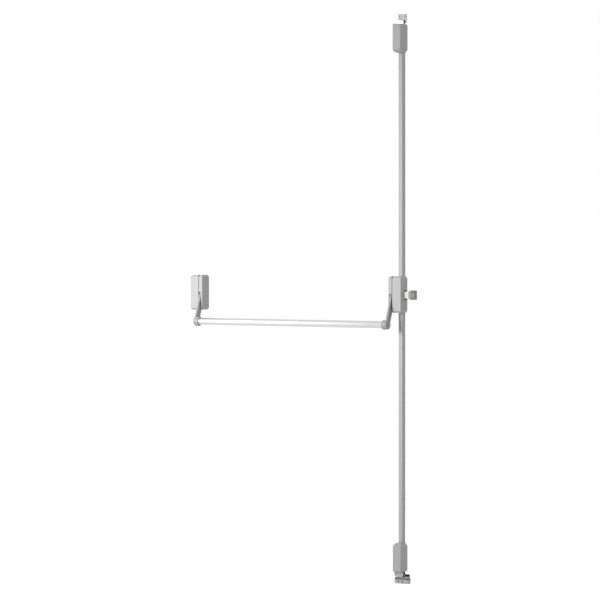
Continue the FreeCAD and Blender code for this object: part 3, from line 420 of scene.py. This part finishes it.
def surface(name, code, metallic, tones, roughness, grains, relief, **constants):
    """Material whose tone, roughness and relief follow noise in object space.

    tones are two factors of the colour, and roughness is its two ends. Each grain is a
    spacing in metres, its stretch along the axes and a detail; the first one drives tone
    and roughness and the last one the relief, which is a depth in metres and a strength.
    constants are further inputs of the shader.
    """
    material, tree = empty_material(name)
    place = add_node(tree, "ShaderNodeTexCoord")
    noises = []
    for spacing, stretch, detail in grains:
        scaled = add_node(tree, "ShaderNodeMapping",
                          {"Vector": place.outputs["Object"], "Scale": stretch})
        noise = add_node(tree, "ShaderNodeTexNoise",
                         {"Vector": scaled.outputs["Vector"], "Scale": 1 / spacing,
                          "Detail": detail, "Roughness": FINER_WEIGHT})
        noises.append(noise.outputs["Fac"])
    tone = add_node(tree, "ShaderNodeMix",
                    {0: noises[0], 6: shade(code, tones[0]), 7: shade(code, tones[1])},
                    data_type="RGBA")
    gloss = add_node(tree, "ShaderNodeMapRange",
                     {"Value": noises[0], "From Min": MOST_NOISE[0], "From Max": MOST_NOISE[1],
                      "To Min": roughness[0], "To Max": roughness[1]})
    bump = add_node(tree, "ShaderNodeBump",
                    {"Height": noises[-1], "Distance": relief[0], "Strength": relief[1]})
    shader = add_node(tree, "ShaderNodeBsdfPrincipled",
                      {"Base Color": tone.outputs[2], "Metallic": metallic,
                       "Roughness": gloss.outputs["Result"],
                       "Normal": bump.outputs["Normal"], **constants})
    add_node(tree, "ShaderNodeOutputMaterial", {"Surface": shader.outputs["BSDF"]})
    return material


# Materials

def powder_coat(name, code, spacing, roughness):
    """Polyester powder coat on metal: even colour, faint dimples and a soft gloss."""
    return surface(name, code, metallic=0.0, tones=(0.965, 1.03),
                   roughness=(roughness - 0.03, roughness + 0.05),
                   grains=[(45 * MM, EVEN, 3), (spacing, EVEN, 2)], relief=(0.05 * MM, 0.25))


def anodised_aluminium(name, code, spacing):
    """Drawn and satin anodised aluminium: long fine lines along the bar."""
    return surface(name, code, metallic=1.0, tones=(0.93, 1.04), roughness=(0.38, 0.46),
                   grains=[(spacing, (0.02, 1, 1), 4)], relief=(0.02 * MM, 0.3))


def zinc_plate(name, code):
    """Bright zinc on pressed steel: cool, slightly blotched, half gloss."""
    return surface(name, code, metallic=1.0, tones=(0.86, 1.06), roughness=(0.30, 0.45),
                   grains=[(9 * MM, EVEN, 5)], relief=(0.03 * MM, 0.2))


def nickel_plate(name, code, spacing):
    """Ground and nickel-plated steel: warm white metal with faint grinding lines."""
    return surface(name, code, metallic=1.0, tones=(0.92, 1.03), roughness=(0.28, 0.40),
                   grains=[(spacing, (1, 1, 0.04), 4)], relief=(0.015 * MM, 0.3))


def satin_casting(name, code, spacing):
    """Bead-blasted casting in satin nickel: pale, and hardly mirror-like."""
    return surface(name, code, metallic=0.15, tones=(0.94, 1.04), roughness=(0.44, 0.58),
                   grains=[(spacing, EVEN, 4)], relief=(0.02 * MM, 0.35))


def bolt_with_painted_dark_flanks(name, code, painted_reflection_code, spacing):
    """Nickel-plated bolt whose flanks are painted dull black: a painted dark reflection, standing
    for glossy metal that mirrors a dark room.
    """
    material = nickel_plate(name, code, spacing)
    tree = material.node_tree
    shader = next(node for node in tree.nodes if node.type == "BSDF_PRINCIPLED")
    place = add_node(tree, "ShaderNodeTexCoord")
    parts = add_node(tree, "ShaderNodeSeparateXYZ", {"Vector": place.outputs["Normal"]})
    sideways = add_node(tree, "ShaderNodeMath", {0: parts.outputs["X"]}, operation="ABSOLUTE")
    # Painted dark reflection: faces that point sideways are painted dull black and lose their
    # metal
    flank = add_node(tree, "ShaderNodeMapRange",
                     {"Value": sideways.outputs["Value"], "From Min": PAINTED_REFLECTION_FLANK_EDGE[0],
                      "From Max": PAINTED_REFLECTION_FLANK_EDGE[1]})
    plated = shader.inputs["Base Color"].links[0].from_socket
    blend = add_node(tree, "ShaderNodeMix",
                     {0: flank.outputs["Result"], 6: plated, 7: linear(painted_reflection_code)},
                     data_type="RGBA")
    tree.links.new(blend.outputs[2], shader.inputs["Base Color"])
    bare = add_node(tree, "ShaderNodeMath", {0: 1.0, 1: flank.outputs["Result"]},
                    operation="SUBTRACT")
    tree.links.new(bare.outputs["Value"], shader.inputs["Metallic"])
    return material


def bare_steel(name, code, spacing, roughness):
    """Machined or drawn bare steel: darker, with short tool marks."""
    return surface(name, code, metallic=1.0, tones=(0.85, 1.08),
                   roughness=(roughness - 0.06, roughness + 0.08),
                   grains=[(spacing, (1, 0.1, 1), 5)], relief=(0.02 * MM, 0.4))


def sintered_bronze(name, code):
    """Oil-filled sintered bronze: dull gold with open pores, drawn coarse enough to show."""
    return surface(name, code, metallic=1.0, tones=(0.75, 1.1), roughness=(0.45, 0.62),
                   grains=[(0.5 * MM, EVEN, 4)], relief=(0.03 * MM, 0.5))


def moulded_nylon(name, code, spacing):
    """Moulded nylon with an even matt texture from the mould."""
    return surface(name, code, metallic=0.0, tones=(0.92, 1.1), roughness=(0.46, 0.58),
                   grains=[(spacing, EVEN, 3)], relief=(0.03 * MM, 0.4), IOR=1.53)


def nitrile_rubber(name, code):
    """Moulded nitrile rubber: black, dull and a little dusty."""
    return surface(name, code, metallic=0.0, tones=(0.9, 2.0), roughness=(0.75, 0.9),
                   grains=[(3 * MM, EVEN, 6)], relief=(0.04 * MM, 0.3), IOR=1.52)


def make_materials(settings):
    """Every finish of the device, by the material slot or the name used here."""
    coats = settings.coats
    metals = settings.metals
    plastics = settings.plastics
    coated = {"silver_cover": ("silver_powder_coat", coats.cover_colour),
              "silver_lever": ("lever_powder_coat", coats.lever_colour),
              "silver_end": ("end_case_powder_coat", coats.end_colour),
              "strike_grey": ("grey_strike_paint", coats.strike_colour),
              "side_strike": ("side_strike_paint", coats.side_strike_colour),
              "top_strike": ("top_strike_paint", coats.top_strike_colour)}
    moulded = {"nylon_black": ("black_moulded_nylon", plastics.black_colour),
               "nylon_grey": ("grey_nylon_painted_neck_shade", plastics.grey_colour),
               "nylon_white": ("natural_moulded_nylon", plastics.white_colour)}
    lines = metals.line_spacing
    finishes = {
        "bar_metal": anodised_aluminium("satin_anodised_aluminium", metals.bar_colour, lines),
        "zinc_steel": zinc_plate("zinc_plated_steel", metals.zinc_colour),
        "bright_steel": nickel_plate("nickel_plated_steel", metals.nickel_colour, lines),
        "bolts": bolt_with_painted_dark_flanks("nickel_steel_painted_dark_flanks", metals.nickel_colour, metals.painted_reflection_flank_colour,
                             lines),
        "latch": satin_casting("satin_nickel_casting", metals.latch_colour,
                               plastics.texture_size),
        "gear_steel": bare_steel("machined_gear_steel", metals.gear_colour, lines, 0.36),
        "spring_steel": bare_steel("drawn_spring_wire", metals.wire_colour, lines, 0.32),
        "bush_bronze": sintered_bronze("sintered_bronze", metals.bronze_colour),
        "pad_rubber": nitrile_rubber("nitrile_rubber", plastics.rubber_colour)}
    for slot, (name, code) in coated.items():
        finishes[slot] = powder_coat(name, code, coats.peel_size, coats.coat_roughness)
    for slot, (name, code) in moulded.items():
        finishes[slot] = moulded_nylon(name, code, plastics.texture_size)
    return finishes


# Pieces made here

# Material of each slot, filled by the first operator before any piece is made
FINISHES = {}


def add_piece(name, build, slot, body):
    """Turn a finished bmesh into a named piece with its finish, riding on a body."""
    bmesh.ops.recalc_face_normals(build, faces=build.faces)
    mesh = bpy.data.meshes.new(name)
    build.to_mesh(mesh)
    build.free()
    mesh.materials.append(FINISHES[slot])
    piece = bpy.data.objects.new(name, mesh)
    bpy.context.scene.collection.objects.link(piece)
    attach(piece, body)
    return piece


def ring(build, radius, height, sides):
    """Closed loop of points round the Z axis, in order."""
    step = 2 * math.pi / sides
    return [build.verts.new((radius * math.cos(step * place), radius * math.sin(step * place),
                             height)) for place in range(sides)]


def join_rings(build, lower, upper):
    """Band of smooth faces between two loops of the same count."""
    count = len(lower)
    for place in range(count):
        following = (place + 1) % count
        face = build.faces.new((lower[place], lower[following],
                                upper[following], upper[place]))
        face.smooth = True


def loop_edges(build, loop):
    """Edges along a closed loop of points."""
    found = []
    for place, start in enumerate(loop):
        end = loop[(place + 1) % len(loop)]
        edge = build.edges.get((start, end)) or build.edges.new((start, end))
        found.append(edge)
    return found


def cross_outline(build, width, height):
    """Twelve corners of a cross recess with narrow arms."""
    long = width / 2
    short = width * CROSS_ARM
    corners = [(long, -short), (long, short), (short, short), (short, long),
               (-short, long), (-short, short), (-long, short), (-long, -short),
               (-short, -short), (-short, -long), (short, -long), (short, -short)]
    return [build.verts.new((x, y, height)) for x, y in corners]


def sink(build, mouth, depth, taper):
    """Recess below a mouth: tapered walls and a flat floor."""
    floor = [build.verts.new((point.co.x * taper, point.co.y * taper, point.co.z - depth))
             for point in mouth]
    for place, start in enumerate(mouth):
        following = (place + 1) % len(mouth)
        build.faces.new((start, mouth[following], floor[following], floor[place]))
    build.faces.new(floor)


def screw(build, place, direction, radius, rise, recess, socket):
    """Screw head standing on a surface, with a cross recess or a hexagon socket."""
    head = bmesh.new()
    rims = [ring(head, radius * share, rise * height, SCREW_SIDES)
            for share, height in SCREW_OUTLINE]
    for lower, upper in zip(rims, rims[1:]):
        join_rings(head, lower, upper)
    head.faces.new(rims[0])
    if socket:
        mouth, taper = ring(head, recess / 2, rise, 6), SOCKET_TAPER
    else:
        mouth, taper = cross_outline(head, recess, rise), CROSS_TAPER
    edges = loop_edges(head, rims[-1]) + loop_edges(head, mouth)
    bmesh.ops.triangle_fill(head, edges=edges, use_beauty=True)
    sink(head, mouth, rise * RECESS_DEPTH, taper)
    turn = Vector(direction).to_track_quat("Z", "Y").to_matrix().to_4x4()
    bmesh.ops.transform(head, matrix=Matrix.Translation(place) @ turn, verts=head.verts)
    part = bpy.data.meshes.new("screw_part")
    head.to_mesh(part)
    head.free()
    build.from_mesh(part)
    bpy.data.meshes.remove(part)


def screws(name, heads, radius, slot, body="frame", socket=False):
    """A group of like screws as one piece; heads are places and the ways they point."""
    settings = bpy.context.scene.panic_bar.screws
    recess = 2 * radius * settings.recess_share
    build = bmesh.new()
    for place, direction in heads:
        screw(build, place, direction, radius, settings.head_rise, recess, socket)
    return add_piece(name, build, slot, body)


def coil_path(length, wire, turns):
    """Angle and height of each ring of a coil with its end turns lying flat."""
    count = turns * COIL_STEPS
    flat = FLAT_TURNS * COIL_STEPS
    rise = FLAT_TURNS * FLAT_TURN_RISE * wire
    for place in range(count + 1):
        if place < flat:
            height = rise * place / flat
        elif place > count - flat:
            height = length - rise * (count - place) / flat
        else:
            height = rise + (length - 2 * rise) * (place - flat) / (count - 2 * flat)
        yield 2 * math.pi * place / COIL_STEPS, height


def coil(node, axis, wire, turns):
    """Compression spring in place of its plain solid."""
    low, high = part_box(node)
    along = "xyz".index(axis)
    across = [place for place in range(3) if place != along]
    centre = (low + high) / 2
    radius = (high[across[0]] - low[across[0]] - wire) / 2
    build = bmesh.new()
    rings = []
    for angle, height in coil_path(high[along] - low[along] - wire, wire, turns):
        loop = []
        for corner in range(WIRE_SIDES):
            turn = 2 * math.pi * corner / WIRE_SIDES
            reach = radius + wire / 2 * math.cos(turn)
            point = [0.0, 0.0, 0.0]
            point[along] = low[along] + wire / 2 + height + wire / 2 * math.sin(turn)
            point[across[0]] = centre[across[0]] + reach * math.cos(angle)
            point[across[1]] = centre[across[1]] + reach * math.sin(angle)
            loop.append(build.verts.new(point))
        rings.append(loop)
    for first, second in zip(rings, rings[1:]):
        join_rings(build, first, second)
    build.faces.new(rings[0])
    build.faces.new(rings[-1])
    piece = add_piece(node + "_coil", build, "spring_steel", "frame")
    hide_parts(node)
    return piece


def press(piece, node, axis, end):
    """Give a coil a mesh of its own; the end that stays in place is found, but the coil is not
    shortened.
    """
    low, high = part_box(node)
    along = "xyz".index(axis)
    anchor = list((low + high) / 2)
    anchor[along] = (low if end == "low" else high)[along]
    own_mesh(piece)


def box_strip(build, low, high):
    """Rectangular bar between two corners."""
    made = bmesh.ops.create_cube(build, size=1.0)
    size = Vector(high) - Vector(low)
    middle = (Vector(high) + Vector(low)) / 2
    shape = Matrix.Translation(middle) @ Matrix.Diagonal((size.x, size.y, size.z, 1.0))
    bmesh.ops.transform(build, matrix=shape, verts=made["verts"])


def fixing_holes(name, axis):
    """Middles of the two holes of a strike, along an axis, from its mount."""
    mount = next(mount for mount in frame["record"]["mounts"] if mount["name"] == name)
    spacing = next(size for word, size in mount["dims"].items() if "spacing" in word) * MM
    middle = Vector(mount["pos_m"])
    return [middle + Vector(axis) * side * spacing / 2 for side in (-1, 1)]


# Operators

class PANICBAR_OT_finishes(bpy.types.Operator):
    """Give every part of the device its real finish"""
    bl_idname = "panicbar.finishes"
    bl_label = "Finishes"

    def execute(self, context):
        FINISHES.update(make_materials(context.scene.panic_bar))
        slots = {part["node"]: part["material_slot"] for part in frame["record"]["subparts"]}
        for node, piece in frame["nodes"].items():
            piece.data.materials.clear()
            piece.data.materials.append(FINISHES[OWN_FINISHES.get(node, slots[node])])
        return {"FINISHED"}


class PANICBAR_OT_edges(bpy.types.Operator):
    """Round the sharp edges of every piece a little"""
    bl_idname = "panicbar.edges"
    bl_label = "Edges"

    def execute(self, context):
        edges = context.scene.panic_bar.edges
        for node, piece in frame["nodes"].items():
            weld = piece.modifiers.new("closed_corners", "WELD")
            weld.merge_threshold = edges.corner_gap
            flats = piece.modifiers.new("whole_flats", "DECIMATE")
            flats.decimate_type = "DISSOLVE"
            flats.angle_limit = edges.flat_angle
            rounding = piece.modifiers.new("rounded_edges", "BEVEL")
            outer = node in OUTER_PIECES
            rounding.width = edges.outer_radius if outer else edges.inner_radius
            rounding.segments = 2 if outer else 1
            rounding.limit_method = "ANGLE"
            rounding.angle_limit = edges.sharp_angle
        return {"FINISHED"}


class PANICBAR_OT_springs(bpy.types.Operator):
    """Wind the return springs of the rods, the bolts and the latch"""
    bl_idname = "panicbar.springs"
    bl_label = "Springs"

    def execute(self, context):
        springs = context.scene.panic_bar.springs
        for node, axis, joint, end in SPRINGS:
            if node == "latch_spring":
                wire, turns = springs.latch_wire, springs.latch_turns
            else:
                wire, turns = springs.bolt_wire, springs.bolt_turns
            press(coil(node, axis, wire, turns), node, axis, end)
        return {"FINISHED"}


class PANICBAR_OT_cover_screws(bpy.types.Operator):
    """Screws in the sides of the covers and in the foot cover"""
    bl_idname = "panicbar.cover_screws"
    bl_label = "Cover screws"

    def execute(self, context):
        sizes = context.scene.panic_bar.screws
        depth = -sizes.cover_depth
        radius = sizes.cover_diameter / 2
        for case, left, right in LEVER_CASES:
            low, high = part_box(left)
            middle = (high.z + low.z) / 2
            reach = (high.z - low.z) / 2 - sizes.cover_end
            sides = ((low.x, LEFT), (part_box(right)[1].x, RIGHT))
            heads = [(Vector((x, depth, middle + side * reach)), way)
                     for x, way in sides for side in (-1, 1)]
            screws(case + "_cover_screws", heads, radius, "silver_cover")
        for end in ("upper", "lower"):
            low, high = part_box(end + "_case_cover")
            middle = (low.z + high.z) / 2
            heads = [(Vector((x, depth, middle)), way)
                     for x, way in ((low.x, LEFT), (high.x, RIGHT))]
            screws(end + "_cover_screws", heads, radius, "silver_end")
        low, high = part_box("foot_cover")
        spot = Vector((low.x + sizes.foot_inset, low.y, high.z - sizes.foot_drop))
        screws("foot_screw", [(spot, FRONT)], radius * SMALL_SCREW, "spring_steel")
        return {"FINISHED"}


class PANICBAR_OT_strike_screws(bpy.types.Operator):
    """Dark screws in the top, side and floor strikes"""
    bl_idname = "panicbar.strike_screws"
    bl_label = "Strike screws"

    def execute(self, context):
        sizes = context.scene.panic_bar.screws
        radius = sizes.strike_diameter / 2
        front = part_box("top_strike")[0].y
        heads = [(Vector((hole.x, front, hole.z)), FRONT)
                 for hole in fixing_holes("top_strike_fixing", RIGHT)]
        screws("top_strike_screws", heads, radius, "spring_steel")
        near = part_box("side_strike")[0].x
        heads = [(Vector((near, hole.y, hole.z)), LEFT)
                 for hole in fixing_holes("side_strike_fixing", UP)]
        screws("side_strike_screws", heads, radius, "spring_steel")
        low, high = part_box("floor_strike")
        heads = [(Vector((hole.x, hole.y, high.z)), UP)
                 for hole in fixing_holes("floor_strike_fixing", RIGHT)]
        screws("floor_strike_screws", heads, radius, "spring_steel")
        first = Vector((low.x + sizes.clamp_inset, low.y, low.z + sizes.clamp_rise))
        second = first + Vector((sizes.clamp_step, 0.0, 0.0))
        screws("strike_clamp_screws", [(first, FRONT), (second, FRONT)],
               radius * SMALL_SCREW, "spring_steel")
        return {"FINISHED"}


class PANICBAR_OT_grub_screws(bpy.types.Operator):
    """Hexagon socket screws that hold the bar in its sockets"""
    bl_idname = "panicbar.grub_screws"
    bl_label = "Grub screws"

    def execute(self, context):
        sizes = context.scene.panic_bar.screws
        low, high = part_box("bar_tube")
        middle = (low.y + high.y) / 2
        heads = [(Vector((x, middle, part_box(lever)[0].z)), DOWN)
                 for lever, x in (("lock_lever", high.x - sizes.grub_inset),
                                  ("hinge_lever", low.x + sizes.grub_inset))]
        screws("grub_screws", heads, sizes.grub_diameter / 2, "spring_steel",
               body="push_bar", socket=True)
        return {"FINISHED"}


class PANICBAR_OT_seam_painted_shade(bpy.types.Operator):
    """Black strips of painted shade in the seams between the two covers of each lever case"""
    bl_idname = "panicbar.seam_gaskets"
    bl_label = "Seam painted shade"

    def execute(self, context):
        strips = context.scene.panic_bar.strips
        for case, left, right in LEVER_CASES:
            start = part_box(left)[1]
            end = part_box(right)[0]
            build = bmesh.new()
            box_strip(build,
                      (start.x + strips.seam_clearance, end.y + strips.seam_front,
                       strips.seam_low),
                      (end.x - strips.seam_clearance, end.y + strips.seam_back,
                       start.z - strips.seam_top))
            # Painted shade: the black strip darkens the seam gap, where shade falls
            add_piece(case + "_seam_painted_shade", build, "nylon_black", "frame")
        return {"FINISHED"}


class PANICBAR_OT_strike_strip(bpy.types.Operator):
    """Dark strip of painted shade in the neck of the floor strike"""
    bl_idname = "panicbar.strike_strip"
    bl_label = "Strike strip"

    def execute(self, context):
        strips = context.scene.panic_bar.strips
        low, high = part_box("floor_strike")
        left = low.x + strips.neck_inset
        right = high.x - strips.neck_inset
        front = low.y + strips.neck_inset
        back = front + strips.neck_thickness
        top = high.z - strips.neck_drop
        bottom = top - strips.neck_height
        build = bmesh.new()
        box_strip(build, (left, front, bottom), (right, back, top))
        box_strip(build, (right - strips.neck_thickness, back, bottom),
                  (right, front + strips.neck_return, top))
        # Painted shade: a grey nylon strip darkens the neck of the floor strike, where shade
        # falls
        strip = add_piece("floor_strike_painted_shade", build, "nylon_black", "frame")
        strip.data.materials[0] = FINISHES["nylon_grey"]
        return {"FINISHED"}


# Stage

def directly_seen(tree):
    """1 for rays that show a surface, straight, mirrored or through glass, and 0 for light."""
    path = add_node(tree, "ShaderNodeLightPath")
    seen = add_node(tree, "ShaderNodeMath",
                    {0: path.outputs["Is Camera Ray"], 1: path.outputs["Is Glossy Ray"]},
                    operation="MAXIMUM")
    clear = add_node(tree, "ShaderNodeMath",
                     {0: seen.outputs["Value"], 1: path.outputs["Is Transmission Ray"]},
                     operation="MAXIMUM")
    return clear.outputs["Value"]


def studio_floor_material(studio):
    """Matt white studio floor: reads as white to the camera and keeps a soft shadow."""
    material, tree = empty_material("white_studio_floor")
    matt = add_node(tree, "ShaderNodeBsdfDiffuse", {"Color": linear(studio.floor_colour)})
    lift = add_node(tree, "ShaderNodeMath", {0: directly_seen(tree), 1: studio.floor_lift},
                    operation="MULTIPLY")
    glow = add_node(tree, "ShaderNodeEmission",
                    {"Color": linear("FFFFFF"), "Strength": lift.outputs["Value"]})
    both = add_node(tree, "ShaderNodeAddShader",
                    {0: matt.outputs["BSDF"], 1: glow.outputs["Emission"]})
    add_node(tree, "ShaderNodeOutputMaterial", {"Surface": both.outputs["Shader"]})
    return material


def lay_floor(scene, studio):
    """Square floor under the device."""
    half = studio.floor_size / 2
    level = CAD_BOX[0].z
    build = bmesh.new()
    build.faces.new([build.verts.new((x, y, level)) for x, y in
                     ((-half, -half), (half, -half), (half, half), (-half, half))])
    mesh = bpy.data.meshes.new("studio_floor")
    build.to_mesh(mesh)
    build.free()
    mesh.materials.append(studio_floor_material(studio))
    floor = bpy.data.objects.new("studio_floor", mesh)
    scene.collection.objects.link(floor)


def light_room(scene, studio):
    """White room that gives even light."""
    world = bpy.data.worlds.new("pale_room")
    world.use_nodes = True
    tree = world.node_tree
    tree.nodes.clear()
    level = add_node(tree, "ShaderNodeMapRange",
                     {"Value": directly_seen(tree), "To Min": studio.sky_strength,
                      "To Max": 1.0})
    sky = add_node(tree, "ShaderNodeBackground",
                   {"Color": linear("FFFFFF"), "Strength": level.outputs["Result"]})
    add_node(tree, "ShaderNodeOutputWorld", {"Surface": sky.outputs["Background"]})
    scene.world = world


def hang_key(scene, studio):
    """Large soft lamp that lights the left side of the device the most."""
    light = bpy.data.lights.new("soft_key", "SPOT")
    light.energy = studio.key_power
    light.spot_size = studio.key_beam
    light.spot_blend = 1.0
    light.shadow_soft_size = studio.key_radius
    lamp = bpy.data.objects.new("soft_key", light)
    lamp.location = studio.key_place
    lamp.rotation_mode = "QUATERNION"
    toward = lamp.location - Vector(studio.key_aim)
    lamp.rotation_quaternion = toward.to_track_quat("Z", "Y")
    scene.collection.objects.link(lamp)


def place_camera(scene, studio):
    """Camera that sees the device as the photo does."""
    camera = bpy.data.cameras.new("photo_camera")
    camera.lens = studio.lens
    camera.shift_y = studio.lens_shift
    eye = bpy.data.objects.new("photo_camera", camera)
    eye.location = studio.eye_place
    eye.rotation_euler = studio.eye_turn
    scene.collection.objects.link(eye)
    scene.camera = eye


class PANICBAR_OT_studio(bpy.types.Operator):
    """Floor, soft light and the camera"""
    bl_idname = "panicbar.studio"
    bl_label = "Studio"

    def execute(self, context):
        scene = context.scene
        studio = scene.panic_bar.studio
        lay_floor(scene, studio)
        light_room(scene, studio)
        hang_key(scene, studio)
        place_camera(scene, studio)
        scene.view_settings.view_transform = "Standard"
        return {"FINISHED"}


OPERATORS = (PANICBAR_OT_finishes, PANICBAR_OT_edges, PANICBAR_OT_springs,
             PANICBAR_OT_cover_screws, PANICBAR_OT_strike_screws, PANICBAR_OT_grub_screws,
             PANICBAR_OT_seam_painted_shade, PANICBAR_OT_strike_strip, PANICBAR_OT_studio)


class PANICBAR_PT_panel(bpy.types.Panel):
    """Sidebar panel that lists the steps"""
    bl_label = "Panic bar"
    bl_idname = "PANICBAR_PT_panel"
    bl_space_type = "VIEW_3D"
    bl_region_type = "UI"
    bl_category = "Panic bar"

    def draw(self, context):
        for operator in OPERATORS:
            self.layout.operator(operator.bl_idname)


CLASSES = (CoatSettings, MetalSettings, PlasticSettings, ScrewSettings, SpringSettings,
           EdgeSettings, StripSettings, StudioSettings, PanicBarSettings,
           *OPERATORS, PANICBAR_PT_panel)


def register():
    for item in CLASSES:
        bpy.utils.register_class(item)
    bpy.types.Scene.panic_bar = PointerProperty(type=PanicBarSettings, name="Panic bar",
                                                description="Settings of the panic bar")


def unregister():
    del bpy.types.Scene.panic_bar
    for item in reversed(CLASSES):
        bpy.utils.unregister_class(item)


def main():
    """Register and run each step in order."""
    register()
    bpy.ops.panicbar.finishes()
    bpy.ops.panicbar.edges()
    bpy.ops.panicbar.springs()
    bpy.ops.panicbar.cover_screws()
    bpy.ops.panicbar.strike_screws()
    bpy.ops.panicbar.grub_screws()
    bpy.ops.panicbar.seam_gaskets()
    bpy.ops.panicbar.strike_strip()
    bpy.ops.panicbar.studio()


if __name__ == "__main__":
    main()
